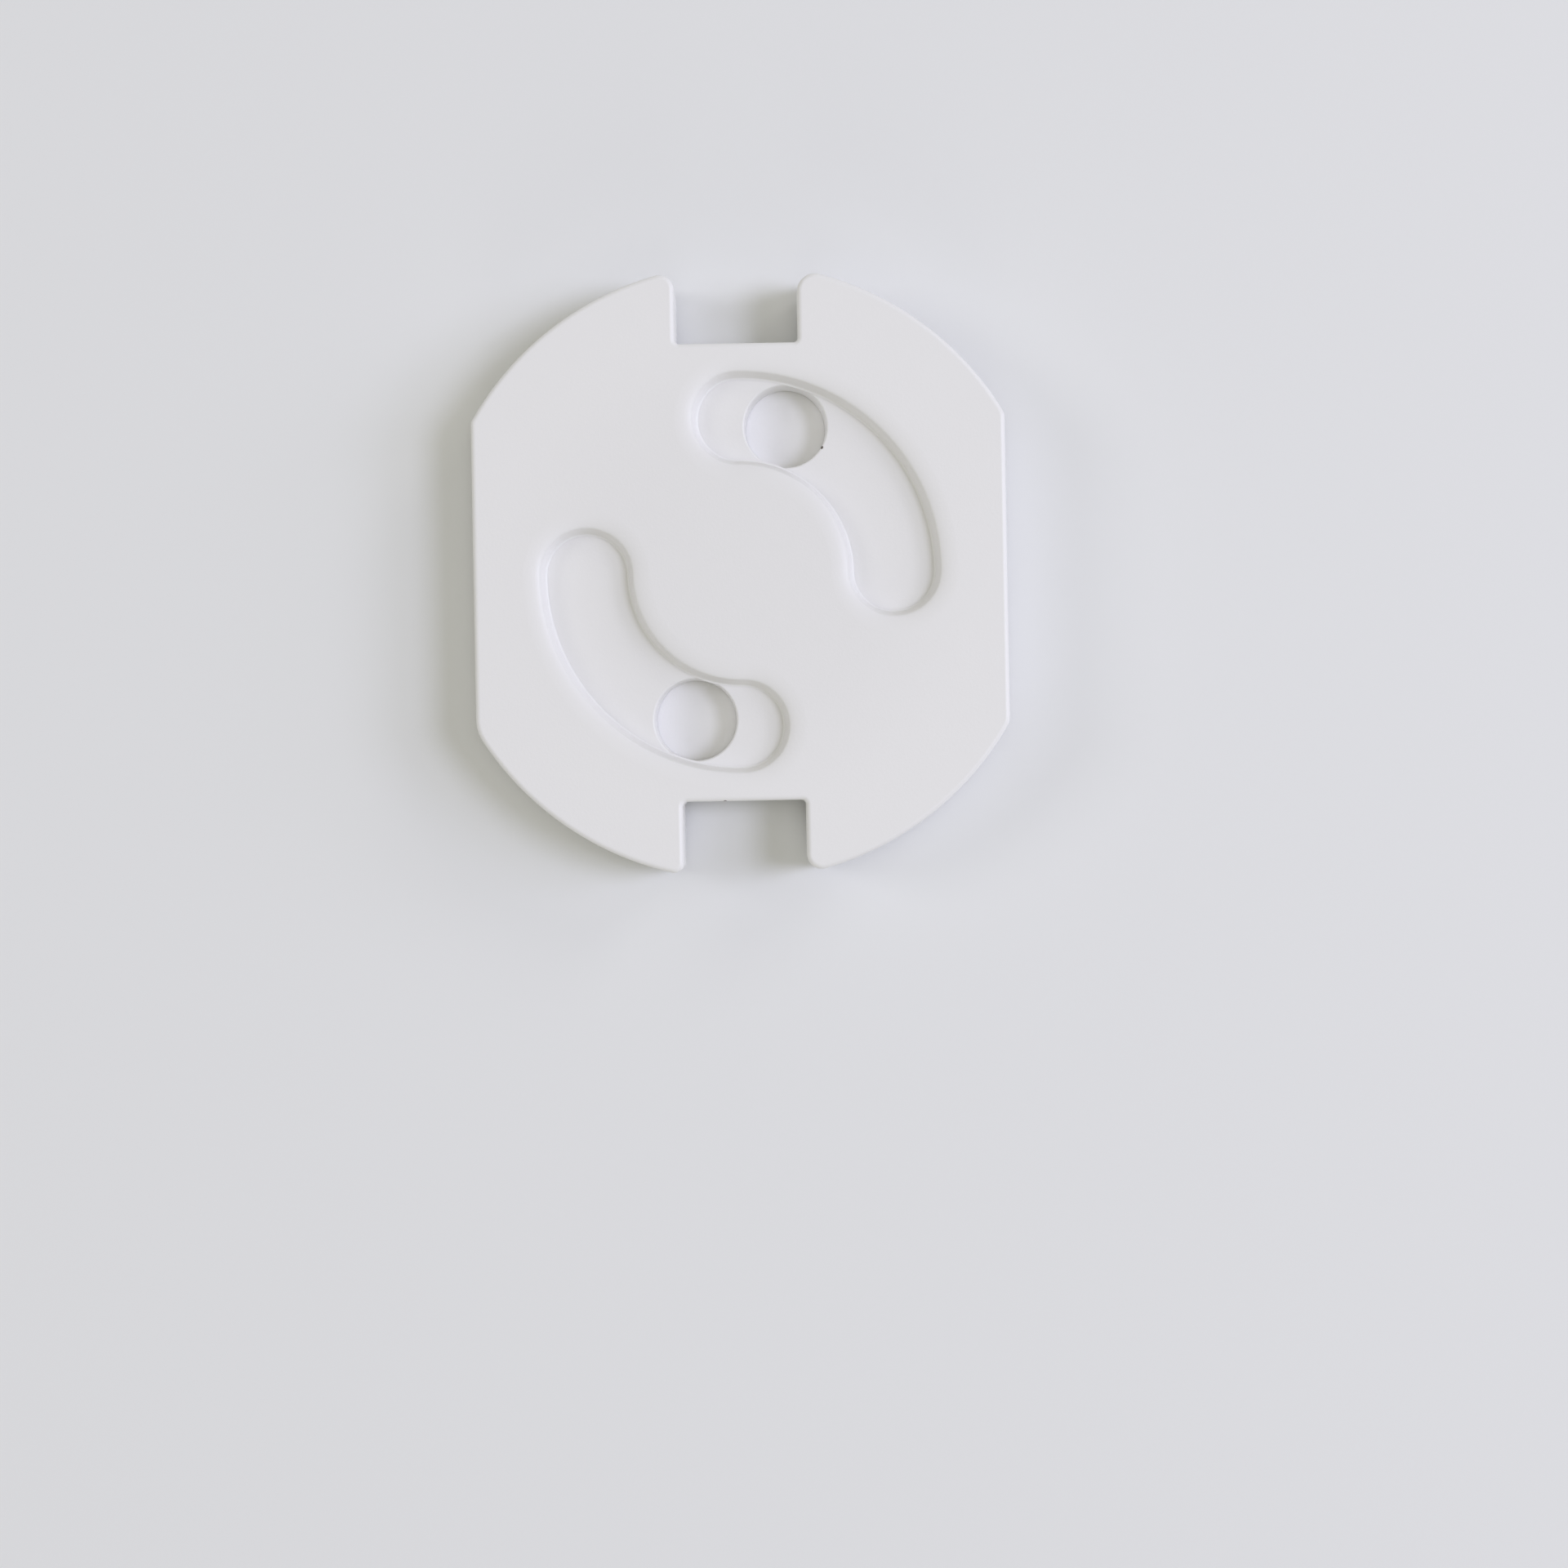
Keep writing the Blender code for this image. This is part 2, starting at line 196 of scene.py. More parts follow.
class Solid:
    """A closed mesh in the making, held as a Blender object at the origin."""

    def __init__(self, name: str, mesh: bmesh.types.BMesh) -> None:
        """Keeps a finished bmesh as an object.

        Args:
            name: The object's name.
            mesh: The closed mesh, which is freed here.
        """
        data = bpy.data.meshes.new(name)
        mesh.to_mesh(data)
        mesh.free()
        self.object = bpy.data.objects.new(name, data)
        bpy.context.scene.collection.objects.link(self.object)

    @staticmethod
    def draw(
        mesh: bmesh.types.BMesh, outline: Sequence[Arc], height: float, guide: Sequence[Arc]
    ) -> None:
        """Draws a closed outline of edges, arc by arc.

        Args:
            mesh: The bmesh that gets the edges.
            outline: The arcs in order; a straight edge joins each to the next.
            height: The height of the outline.
            guide: The arcs that set how many chords each arc of the outline gets.
        """
        first = tip = mesh.verts.new(outline[0].begin())
        drawn = [first]
        for arc, pattern in zip(outline, guide):
            if (tip.co - arc.begin()).length > MERGE_DISTANCE:
                tip = bmesh.ops.extrude_vert_indiv(mesh, verts=[tip])["verts"][0]
                tip.co = arc.begin()
                drawn.append(tip)
            for _ in range(pattern.steps()):
                tip = bmesh.ops.extrude_vert_indiv(mesh, verts=[tip])["verts"][0]
                drawn.append(tip)
                turn = Matrix.Rotation((arc.end - arc.start) / pattern.steps(), 3, "Z")
                bmesh.ops.rotate(mesh, verts=[tip], cent=(*arc.centre, 0.0), matrix=turn)
        if (tip.co - first.co).length > MERGE_DISTANCE:
            bmesh.ops.contextual_create(mesh, geom=[tip, first])
        bmesh.ops.translate(mesh, verts=drawn, vec=(0.0, 0.0, height))
        bmesh.ops.remove_doubles(mesh, verts=drawn, dist=MERGE_DISTANCE)

    @classmethod
    def prism(cls, name: str, outline: Sequence[Arc], bottom: float, top: float) -> Solid:
        """Draws an outline, fills it and extrudes it.

        Args:
            name: The solid's name.
            outline: The arcs in order; a straight edge joins each to the next.
            bottom: The height of the lower face.
            top: The height of the upper face.

        Returns:
            The closed prism.
        """
        mesh = bmesh.new()
        cls.draw(mesh, outline, bottom, outline)
        bmesh.ops.contextual_create(mesh, geom=mesh.edges)
        raised = bmesh.ops.extrude_face_region(mesh, geom=mesh.faces[:], use_keep_orig=True)
        upper = [item for item in raised["geom"] if isinstance(item, bmesh.types.BMVert)]
        bmesh.ops.translate(mesh, verts=upper, vec=(0.0, 0.0, top - bottom))
        bmesh.ops.recalc_face_normals(mesh, faces=mesh.faces)
        return cls(name, mesh)

    @classmethod
    def loft(cls, name: str, levels: Sequence[tuple[Sequence[Arc], float]]) -> Solid:
        """Bridges a stack of outlines, each wider or narrower than the one below it.

        Args:
            name: The solid's name.
            levels: The arcs of each outline and its height, from the bottom up, one arc for each of
                the top outline's.

        Returns:
            The closed solid.
        """
        mesh = bmesh.new()
        guide = levels[-1][0]
        drawn: list[bmesh.types.BMEdge] = []
        for arcs, height in levels:
            older = set(mesh.edges)
            cls.draw(mesh, arcs, height, guide)
            rim = [edge for edge in mesh.edges if edge not in older]
            if drawn:
                bmesh.ops.bridge_loops(mesh, edges=drawn + rim)
            drawn = rim
        open_edges = [edge for edge in mesh.edges if len(edge.link_faces) == 1]
        bmesh.ops.holes_fill(mesh, edges=open_edges, sides=0)
        bmesh.ops.recalc_face_normals(mesh, faces=mesh.faces)
        return cls(name, mesh)

    @classmethod
    def bar(
        cls,
        name: str,
        radius: float,
        bottom: float,
        top: float,
        centre: Point,
        top_radius: float | None = None,
    ) -> Solid:
        """Makes an upright round bar, or a cone where its top has its own radius.

        Args:
            name: The solid's name.
            radius: The radius at the bottom.
            bottom: The height of the lower face.
            top: The height of the upper face.
            centre: Where the bar's axis stands.
            top_radius: The radius at the top, or None for a straight bar.

        Returns:
            The closed bar.
        """
        mesh = bmesh.new()
        bmesh.ops.create_cone(
            mesh,
            cap_ends=True,
            segments=Arc(centre, radius, 0.0, 2.0 * math.pi).steps(),
            radius1=radius,
            radius2=radius if top_radius is None else top_radius,
            depth=top - bottom,
            matrix=Matrix.Translation((*centre, (bottom + top) / 2.0)),
        )
        return cls(name, mesh)

    def combine(self, other: Solid, how: Cut) -> Solid:
        """Joins another solid to this one, or cuts it away, and uses it up.

        Args:
            other: The solid to combine with this one.
            how: Whether it is joined or removed.

        Returns:
            This solid.
        """
        modifier = self.object.modifiers.new("combine", "BOOLEAN")
        modifier.operation = how.value
        modifier.solver = "EXACT"
        modifier.object = other.object
        graph = bpy.context.evaluated_depsgraph_get()
        made = bpy.data.meshes.new_from_object(self.object.evaluated_get(graph))
        self.object.modifiers.clear()
        old = self.object.data
        self.object.data = made
        made.name = old.name
        bpy.data.meshes.remove(old)
        bpy.data.meshes.remove(other.object.data)
        return self

    def round_edges(
        self, width: float, segments: int, chosen: EdgeTest, sharp: float = 35.0
    ) -> Solid:
        """Rounds the sharp edges whose two ends both pass a test.

        Args:
            width: The rounding's radius.
            segments: The number of faces across it.
            chosen: The test that an edge's ends have to pass.
            sharp: The least angle, in degrees, at which an edge counts as sharp.

        Returns:
            This solid.
        """
        mesh = bmesh.new()
        mesh.from_mesh(self.object.data)
        edges = [
            edge
            for edge in mesh.edges
            if len(edge.link_faces) == 2
            and edge.calc_face_angle(0.0) > math.radians(sharp)
            and all(chosen(vertex.co) for vertex in edge.verts)
        ]
        bmesh.ops.bevel(
            mesh,
            geom=edges,
            affect="EDGES",
            offset=width,
            offset_type="OFFSET",
            segments=segments,
            profile=0.5,
            material=-1,
            clamp_overlap=True,
        )
        mesh.to_mesh(self.object.data)
        mesh.free()
        return self

    def turn(self, angle: float) -> Solid:
        """Turns the mesh about the cover's axis, and leaves the object where it is."""
        self.object.data.transform(Matrix.Rotation(angle, 4, "Z"))
        return self

    def shade(self, sharp: float = 40.0) -> Solid:
        """Shades smoothly, with flat faces kept flat and edges past an angle kept sharp."""
        self.object.data.shade_smooth()
        self.object.data.set_sharp_from_angle(angle=math.radians(sharp))
        weighted = self.object.modifiers.new("flat_faces_stay_flat", "WEIGHTED_NORMAL")
        weighted.keep_sharp = True
        weighted.weight = LARGE_FACE_WEIGHT
        return self


class Wire:
    """A shader value, so that shader maths can be written as an expression."""

    def __init__(self, bench: NodeBench, socket: bpy.types.NodeSocket) -> None:
        """Keeps a socket and the bench that makes its nodes."""
        self.bench = bench
        self.socket = socket

    def _math(self, operation: str, *values: Wire | float) -> Wire:
        """Adds a Math node on the given values."""
        inputs = dict(enumerate(values))
        return self.bench.node("ShaderNodeMath", {"operation": operation}, inputs).out("Value")

    def __add__(self, other: Wire | float) -> Wire:
        """The sum."""
        return self._math("ADD", self, other)

    def __sub__(self, other: Wire | float) -> Wire:
        """The difference."""
        return self._math("SUBTRACT", self, other)

    def __rsub__(self, other: float) -> Wire:
        """The difference from a number."""
        return self._math("SUBTRACT", other, self)

    def __mul__(self, other: Wire | float) -> Wire:
        """The product."""
        return self._math("MULTIPLY", self, other)

    __radd__ = __add__
    __rmul__ = __mul__

    def fade(self, low: float, high: float) -> Wire:
        """Goes smoothly from 0 at the low value to 1 at the high one."""
        settings = {"interpolation_type": "SMOOTHSTEP"}
        inputs = {"Value": self, "From Min": low, "From Max": high}
        return self.bench.node("ShaderNodeMapRange", settings, inputs).out("Result")


class Made:
    """A node that has been added, and the way to its outputs."""

    def __init__(self, bench: NodeBench, node: bpy.types.Node) -> None:
        """Keeps the node and its bench."""
        self.bench = bench
        self.node = node

    def out(self, name: str) -> Wire:
        """The output of that name."""
        return Wire(self.bench, self.node.outputs[name])


class NodeBench:
    """Adds nodes to one node tree."""

    def __init__(self, tree: bpy.types.NodeTree) -> None:
        """Starts on a tree and empties it."""
        self.tree = tree
        tree.nodes.clear()

    def node(
        self, kind: str, settings: Mapping[str, object], inputs: Mapping[str | int, object]
    ) -> Made:
        """Adds a node.

        Args:
            kind: The node's type.
            settings: Its own settings, made before its sockets are filled.
            inputs: A value or a wire for each input socket, by name or number.

        Returns:
            The node with its outputs.
        """
        node = self.tree.nodes.new(kind)
        for name, value in settings.items():
            setattr(node, name, value)
        for key, value in inputs.items():
            socket = node.inputs[key]
            if isinstance(value, Wire):
                self.tree.links.new(value.socket, socket)
            else:
                socket.default_value = value
        return Made(self, node)

    def place(self) -> Wire:
        """The place on the piece, in metres from the cover's origin."""
        return self.node("ShaderNodeTexCoord", {}, {}).out("Object")

    def noise(self, grains_per_metre: float, detail: float = 2.0, roughness: float = 0.5) -> Wire:
        """A noise with so many grains to the metre, about 0.5 in the mean."""
        inputs = {
            "Vector": self.place(),
            "Scale": grains_per_metre,
            "Detail": detail,
            "Roughness": roughness,
        }
        return self.node("ShaderNodeTexNoise", {"noise_dimensions": "3D"}, inputs).out("Fac")

    def spot(self, centre: Sequence[float], radius: float) -> Wire:
        """A mask that is 1 at a point of the piece and fades to 0 at a radius from it."""
        settings = {"operation": "DISTANCE"}
        inputs = {0: self.place(), 1: tuple(centre)}
        distance = self.node("ShaderNodeVectorMath", settings, inputs).out("Value")
        return 1.0 - distance.fade(radius * SPOT_CORE, radius)

    def mix(self, factor: Wire, first: Sequence[float], second: Sequence[float] | Wire) -> Wire:
        """A colour between two others."""
        settings = {"data_type": "RGBA", "blend_type": "MIX", "clamp_factor": True}
        made = self.node("ShaderNodeMix", settings, {"Factor": factor})
        for key, value in zip(MIX_COLOURS, (first, second)):
            if isinstance(value, Wire):
                self.tree.links.new(value.socket, made.node.inputs[key])
            else:
                made.node.inputs[key].default_value = (*value, 1.0)
        return Wire(self, made.node.outputs[MIX_RESULT])

    def principled(self, inputs: Mapping[str | int, object]) -> None:
        """Adds a Principled shader and the material's output behind it."""
        shader = self.node("ShaderNodeBsdfPrincipled", {}, inputs)
        self.node("ShaderNodeOutputMaterial", {}, {"Surface": shader.out("BSDF")})


def blank_material(name: str) -> tuple[bpy.types.Material, NodeBench]:
    """Adds a material that has no nodes yet.

    Args:
        name: The material's name.

    Returns:
        The material, and the bench that adds its nodes.
    """
    made = bpy.data.materials.new(name)
    made.use_nodes = True
    return made, NodeBench(made.node_tree)


@dataclass(frozen=True)
class Speck:
    """A dark speck of dirt that was moulded into the surface."""

    centre: tuple[float, float, float]
    radius: float


@dataclass(frozen=True)
class MouldedPlastic:
    """White plastic, satin from the mould."""

    slot: Slot
    colour: tuple[float, float, float]
    roughness: float = 0.42
    skin_roughness: float = 0.05
    cloud_roughness: float = 0.06
    refraction: float = 1.49
    clouds_per_metre: float = 90.0
    streaks_per_metre: float = 900.0
    grains_per_metre: float = 5200.0
    mottle: float = 0.018
    streak_share: float = 0.5
    # Painted shade: how much darker the colour is painted round the cover's middle, and over what
    # radius.
    painted_middle_shade: float = 0.028
    painted_middle_shade_radius: float = 0.0165
    bump_strength: float = 0.35
    bump_height: float = 0.00002
    streak_height: float = 0.6
    speck_colour: tuple[float, float, float] = (0.10, 0.08, 0.06)
    specks: tuple[Speck, ...] = ()

    def material(self) -> bpy.types.Material:
        """Builds the material.

        Returns:
            A material with a faintly uneven tone and skin, and painted shade that darkens it
            towards the cover's middle.
        """
        made, bench = blank_material(self.slot.value)
        clouds = bench.noise(self.clouds_per_metre, detail=3.0)
        streaks = bench.noise(self.streaks_per_metre, detail=2.0)
        skin = bench.noise(self.grains_per_metre, detail=2.0, roughness=0.6)
        cloudiness = (clouds - NOISE_MEAN) * self.mottle
        streakiness = (streaks - NOISE_MEAN) * (self.mottle * self.streak_share)
        tone = 1.0 + cloudiness + streakiness
        # Painted shade: the colour is darkened towards the cover's middle, where less light fell.
        tone = tone - bench.spot((0.0, 0.0, 0.0), self.painted_middle_shade_radius) * self.painted_middle_shade
        dark = tuple(value * DARKEST_TONE for value in self.colour)
        light = tuple(min(1.0, value * LIGHTEST_TONE) for value in self.colour)
        base = bench.mix((tone - DARKEST_TONE) * TONE_GAIN, dark, light)
        for speck in self.specks:
            base = bench.mix(bench.spot(speck.centre, speck.radius), base, self.speck_colour)
        relief = {
            "Strength": self.bump_strength,
            "Distance": self.bump_height,
            "Height": skin + streaks * self.streak_height,
        }
        height = bench.node("ShaderNodeBump", {}, relief)
        roughness = self.roughness + (skin - NOISE_MEAN) * self.skin_roughness
        bench.principled(
            {
                "Base Color": base,
                "Roughness": roughness + (clouds - NOISE_MEAN) * self.cloud_roughness,
                "IOR": self.refraction,
                "Normal": height.out("Normal"),
            }
        )
        return made


@dataclass(frozen=True)
class FoamTape:
    """White closed-cell foam, matt and finely pitted."""

    slot: Slot = Slot.FOAM
    colour: tuple[float, float, float] = (0.80, 0.80, 0.78)
    # Painted shade: the darker colour painted into the pits, and how much of it they get.
    painted_pit_shade_colour: tuple[float, float, float] = (0.62, 0.62, 0.59)
    cells_per_metre: float = 5200.0
    scatter: float = 0.9
    pit_floor: float = 0.08
    pit_rim: float = 0.42
    painted_pit_shade: float = 0.7
    patches_per_metre: float = 450.0
    patch_tone: float = 0.3
    bump_strength: float = 0.8
    bump_height: float = 0.00006
    patch_height: float = 0.5
    roughness: float = 0.86
    pit_roughness: float = 0.08

    def material(self) -> bpy.types.Material:
        """Builds the material.

        Returns:
            A material with small pits in its surface, darkened in its colour by painted shade.
        """
        made, bench = blank_material(self.slot.value)
        settings = {"feature": "F1", "voronoi_dimensions": "3D"}
        inputs = {
            "Vector": bench.place(),
            "Scale": self.cells_per_metre,
            "Randomness": self.scatter,
        }
        cells = bench.node("ShaderNodeTexVoronoi", settings, inputs).out("Distance")
        # Painted shade: the pits are darkened in colour, as shade would fall in them.
        pits = 1.0 - cells.fade(self.pit_floor, self.pit_rim)
        uneven = bench.noise(self.patches_per_metre, detail=2.0)
        tone = pits * self.painted_pit_shade + (uneven - NOISE_MEAN) * self.patch_tone
        base = bench.mix(tone, self.colour, self.painted_pit_shade_colour)
        relief = {
            "Strength": self.bump_strength,
            "Distance": self.bump_height,
            "Height": 1.0 - pits + uneven * self.patch_height,
        }
        height = bench.node("ShaderNodeBump", {}, relief)
        bench.principled(
            {
                "Base Color": base,
                "Roughness": self.roughness + pits * self.pit_roughness,
                "Normal": height.out("Normal"),
            }
        )
        return made


@dataclass
class Piece:
    """What every piece of the cover has."""

    name: str
    node: str
    body: Body

    def low(self) -> float:
        """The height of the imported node's underside."""
        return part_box(self.node)[0].z

    def high(self) -> float:
        """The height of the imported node's top."""
        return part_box(self.node)[1].z

    def place(self, solid: Solid, finish: MouldedPlastic | FoamTape) -> bpy.types.Object:
        """Dresses a finished solid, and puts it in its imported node's stead.

        Args:
            solid: The finished mesh.
            finish: The finish that covers it.

        Returns:
            The piece's object.
        """
        piece = solid.object
        piece.name = self.name
        piece.data.name = self.name
        material_name = finish.slot.value + "_finish"
        material = bpy.data.materials.get(material_name)
        if material is None:
            material = finish.material()
            material.name = material_name
        piece.data.materials.clear()
        piece.data.materials.append(material)
        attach(piece, self.body.value)
        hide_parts(self.node)
        LOG.info("%s: %d faces, rides on %s", self.name, len(piece.data.polygons), self.body.value)
        return piece


@dataclass
class Outline:
    """The cover's outline: a circle with two flats and two notches.

    The corners of each lobe have roundings of their own.
    """

    radius: float = 0.0190
    notch_half_width: float = 0.0038
    notch_fillet: float = 0.0003
    least_fillet: float = 0.00035
    lobe_fillets: tuple[float, ...] = (0.0011, 0.0009, 0.0006, 0.0009)
    flat_fillets: tuple[float, ...] = (0.0010, 0.0005, 0.0025, 0.0012)
    notch_floor: float = 0.0141

    def lobe(self, inset: float, lobe_fillet: float, flat_fillet: float) -> list[Arc]:
        """The arcs of the upper right lobe, from its flat to the notch.

        Args:
            inset: How far inside the cover's outline the arcs run.
            lobe_fillet: The rounding of the corner at the notch.
            flat_fillet: The rounding of the corner at the flat.

        Returns:
            The arcs, anticlockwise.
        """
        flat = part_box("face_shell")[1].x - inset
        radius = self.radius - inset
        side = self.notch_half_width + inset
        floor = self.notch_floor - inset
        flat_fillet = max(flat_fillet - inset, self.least_fillet)
        lobe_fillet = max(lobe_fillet - inset, self.least_fillet)
        flat_rise = math.sqrt((radius - flat_fillet) ** 2 - (flat - flat_fillet) ** 2)
        lobe_rise = math.sqrt((radius - lobe_fillet) ** 2 - (side + lobe_fillet) ** 2)
        flat_turn = math.atan2(flat_rise, flat - flat_fillet)
        lobe_turn = math.atan2(lobe_rise, side + lobe_fillet)
        corner = (side - self.notch_fillet, floor + self.notch_fillet)
        return [
            Arc((flat - flat_fillet, flat_rise), flat_fillet, 0.0, flat_turn),
            Arc(AXIS, radius, flat_turn, lobe_turn),
            Arc((side + lobe_fillet, lobe_rise), lobe_fillet, lobe_turn, math.pi),
            Arc(corner, self.notch_fillet, 0.0, -math.pi / 2.0),
        ]

    def arcs(self, inset: float = 0.0) -> list[Arc]:
        """The whole outline, or one that runs inside it.

        Args:
            inset: How far inside the cover's outline the arcs run.

        Returns:
            The arcs, anticlockwise from the right flat.
        """
        quarters = ((1, 1), (-1, 1), (-1, -1), (1, -1))
        drawn: list[Arc] = []
        for (across, up), fillets in zip(quarters, zip(self.lobe_fillets, self.flat_fillets)):
            arcs = [arc.in_quarter(across, up) for arc in self.lobe(inset, *fillets)]
            drawn += arcs if across == up else arcs[::-1]
        return drawn


@dataclass
class Slots:
    """The two curved slots, and the plug that sets them."""

    pin_radius: float = PIN_RING
    width: float = 0.0055
    travel: float = QUARTER_TURN

    def arcs(self, turn: float, grow: float = 0.0) -> list[Arc]:
        """A slot's outline, or one that runs outside it.

        Args:
            turn: The angle at which the slot starts.
            grow: How far outside the slot the outline runs.

        Returns:
            The arcs, anticlockwise.
        """
        return kidney(self.pin_radius, self.width / 2.0 + grow, turn, turn + self.travel)


@dataclass
class FaceMoulding(Piece):
    """The moulded face with its side wall, collared slots and bosses."""

    name: str = "face_moulding"
    node: str = "face_shell"
    body: Body = Body.HOUSING
    outline: Outline = field(default_factory=Outline)
    slots: Slots = field(default_factory=Slots)
    wall: float = 0.0011
    face_thickness: float = 0.0010
    collar_wall: float = 0.0010
    collar_gap: float = 0.00002
    boss_gap: float = 0.0003
    edge_round: float = 0.00048
    edge_segments: int = 6
    rim_width: float = 0.0012
    rim_fall: float = 0.00022
    rim_steps: int = 8
    rim_offset: float = 0.00010
    rim_overrun: float = 0.01
    slot_draft: float = 0.00024
    foot_round: float = 0.00016
    foot_steps: int = 4
    foot_turn: float = math.radians(85.0)
    foot_lift: float = 1.05
    base_round: float = 0.00015
    base_segments: int = 3
    boss_radius: float = 0.0012
    boss_ring: float = 0.0169
    boss_angle: float = math.radians(52.0)
    socket_radius: float = 0.00075
    socket_depth: float = 0.0014

    def bosses(self) -> list[Point]:
        """The place of the boss in each lobe."""
        first = self.boss_angle
        angles = (first, math.pi - first, math.pi + first, -first)
        return [polar(self.boss_ring, angle) for angle in angles]

    def slot(self, turn: float, bottom: float) -> Solid:
        """Makes the cutter of a slot, with a soft rim, leaning walls and a rounded foot.

        Args:
            turn: The angle at which the slot starts.
            bottom: The height at which the collar ends.

        Returns:
            The cutter, which runs past the face and the collar.
        """
        top = self.high()
        foot = self.slot_draft - self.rim_offset + self.foot_round
        levels = [(self.slots.arcs(turn, -foot), bottom - OVERCUT)]
        for step in range(self.foot_steps + 1):
            angle = self.foot_turn * (1.0 - step / self.foot_steps)
            inset = foot - self.foot_round * math.cos(angle)
            height = bottom + self.foot_round * (self.foot_lift - math.sin(angle))
            levels.append((self.slots.arcs(turn, -inset), height))
        for step in range(self.rim_steps):
            angle = QUARTER_TURN * (1.0 - step / self.rim_steps)
            grow = self.rim_offset + self.rim_width * (1.0 - math.sin(angle))
            height = top - self.rim_fall * (1.0 - math.cos(angle))
            levels.append((self.slots.arcs(turn, grow), height))
        widest = self.slots.arcs(turn, self.rim_offset + self.rim_width)
        levels.append((widest, top + self.rim_fall * self.rim_overrun))
        return Solid.loft("slot", levels)

    def build(self, disc_top: float, plate_top: float) -> Solid:
        """Models the moulding.

        Args:
            disc_top: The height of the turning disc's face, which the collars stop short of.
            plate_top: The height of the back plate's inner face, which the bosses stop short of.

        Returns:
            The finished solid.
        """
        bottom, top = self.low(), self.high()
        underside = top - self.face_thickness
        collar_bottom = disc_top + self.collar_gap
        boss_bottom = plate_top + self.boss_gap
        socket_bottom, socket_top = plate_top - OVERCUT, boss_bottom + self.socket_depth
        moulding = Solid.prism(self.name, self.outline.arcs(), bottom, top)
        cavity = Solid.prism("cavity", self.outline.arcs(self.wall), bottom - OVERCUT, underside)
        moulding.combine(cavity, Cut.REMOVE)
        moulding.round_edges(self.edge_round, self.edge_segments, at_height(top))
        for turn in BOTH_SIDES:
            arcs = self.slots.arcs(turn, self.collar_wall)
            collar = Solid.prism("collar", arcs, collar_bottom, underside + OVERCUT)
            moulding.combine(collar, Cut.JOIN)
        for centre in self.bosses():
            boss = Solid.bar("boss", self.boss_radius, boss_bottom, underside + OVERCUT, centre)
            moulding.combine(boss, Cut.JOIN)
            socket = Solid.bar("socket", self.socket_radius, socket_bottom, socket_top, centre)
            moulding.combine(socket, Cut.REMOVE)
        for turn in BOTH_SIDES:
            moulding.combine(self.slot(turn, collar_bottom), Cut.REMOVE)
        moulding.round_edges(self.base_round, self.base_segments, at_height(bottom))
        return moulding.shade()


@dataclass
class TurningDisc(Piece):
    """The disc behind the slots, with its pin holes, its ears and its hub."""

    name: str = "turning_disc"
    node: str = "shutter_disc"
    body: Body = Body.SHUTTER
    radius: float = 0.0127
    ear_radius: float = 0.01505
    stop_offset: float = 0.00505
    travel: float = QUARTER_TURN
    angle: float = math.radians(72.0)
    slot_depth: float = 0.0012
    pin_radius: float = PIN_RING
    hole_radius: float = 0.00258
    hole_draft: float = 0.00012
    hole_round: float = 0.00012
    hole_segments: int = 4
    rim_round: float = 0.00015
    rim_segments: int = 3
    hub_radius: float = 0.0032
    hub_margin: float = 1.5
    hub_height: float = 0.0002
    bore_radius: float = 0.00165
    plate_gap: float = 0.00005

    def face(self, cover_top: float) -> float:
        """The height of the disc's face, under the slots.

        Args:
            cover_top: The height of the cover's face.

        Returns:
            The height at which a slot ends.
        """
        return cover_top - self.slot_depth

    def arcs(self) -> list[Arc]:
        """The disc's outline with its two ears, its holes on the X axis."""
        root = math.acos(self.stop_offset / self.radius) - self.travel / 2.0
        tip = math.acos(self.stop_offset / self.ear_radius) - self.travel / 2.0
        half_turn = [
            Arc(AXIS, self.ear_radius, -tip, tip),
            Arc(AXIS, self.radius, root, math.pi - root),
        ]
        turned = [arc.turned(math.pi) for arc in half_turn]
        return [arc.turned(-self.travel / 2.0) for arc in half_turn + turned]

    def build(self, top: float, plate_top: float) -> Solid:
        """Models the disc.

        Args:
            top: The height of the disc's face.
            plate_top: The height of the back plate's inner face, on which the disc turns.

        Returns:
            The finished solid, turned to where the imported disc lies.
        """
        bottom, hub_top = plate_top + self.plate_gap, top + self.hub_height
        disc = Solid.prism(self.name, self.arcs(), bottom, top)
        hub = Solid.bar("hub", self.hub_radius, bottom + OVERCUT, hub_top, AXIS)
        disc.combine(hub, Cut.JOIN)
        bore = Solid.bar("bore", self.bore_radius, bottom - OVERCUT, hub_top + OVERCUT, AXIS)
        disc.combine(bore, Cut.REMOVE)
        low, high = bottom - OVERCUT, top + OVERCUT
        wide, narrow = self.hole_radius, self.hole_radius - self.hole_draft
        for angle in BOTH_SIDES:
            centre = polar(self.pin_radius, angle)
            hole = Solid.bar("pin_hole", narrow, low, high, centre, top_radius=wide)
            disc.combine(hole, Cut.REMOVE)
        on_face = at_height(top)
        hub_side = self.hub_radius * self.hub_margin
        rim_side = (self.pin_radius + self.hole_radius + self.radius) / 2.0
        disc.round_edges(
            self.hole_round,
            self.hole_segments,
            lambda at: on_face(at) and hub_side < at.xy.length < rim_side,
        )
        disc.round_edges(
            self.rim_round, self.rim_segments, lambda at: on_face(at) and at.xy.length > rim_side
        )
        disc.turn(self.angle)
        return disc.shade()


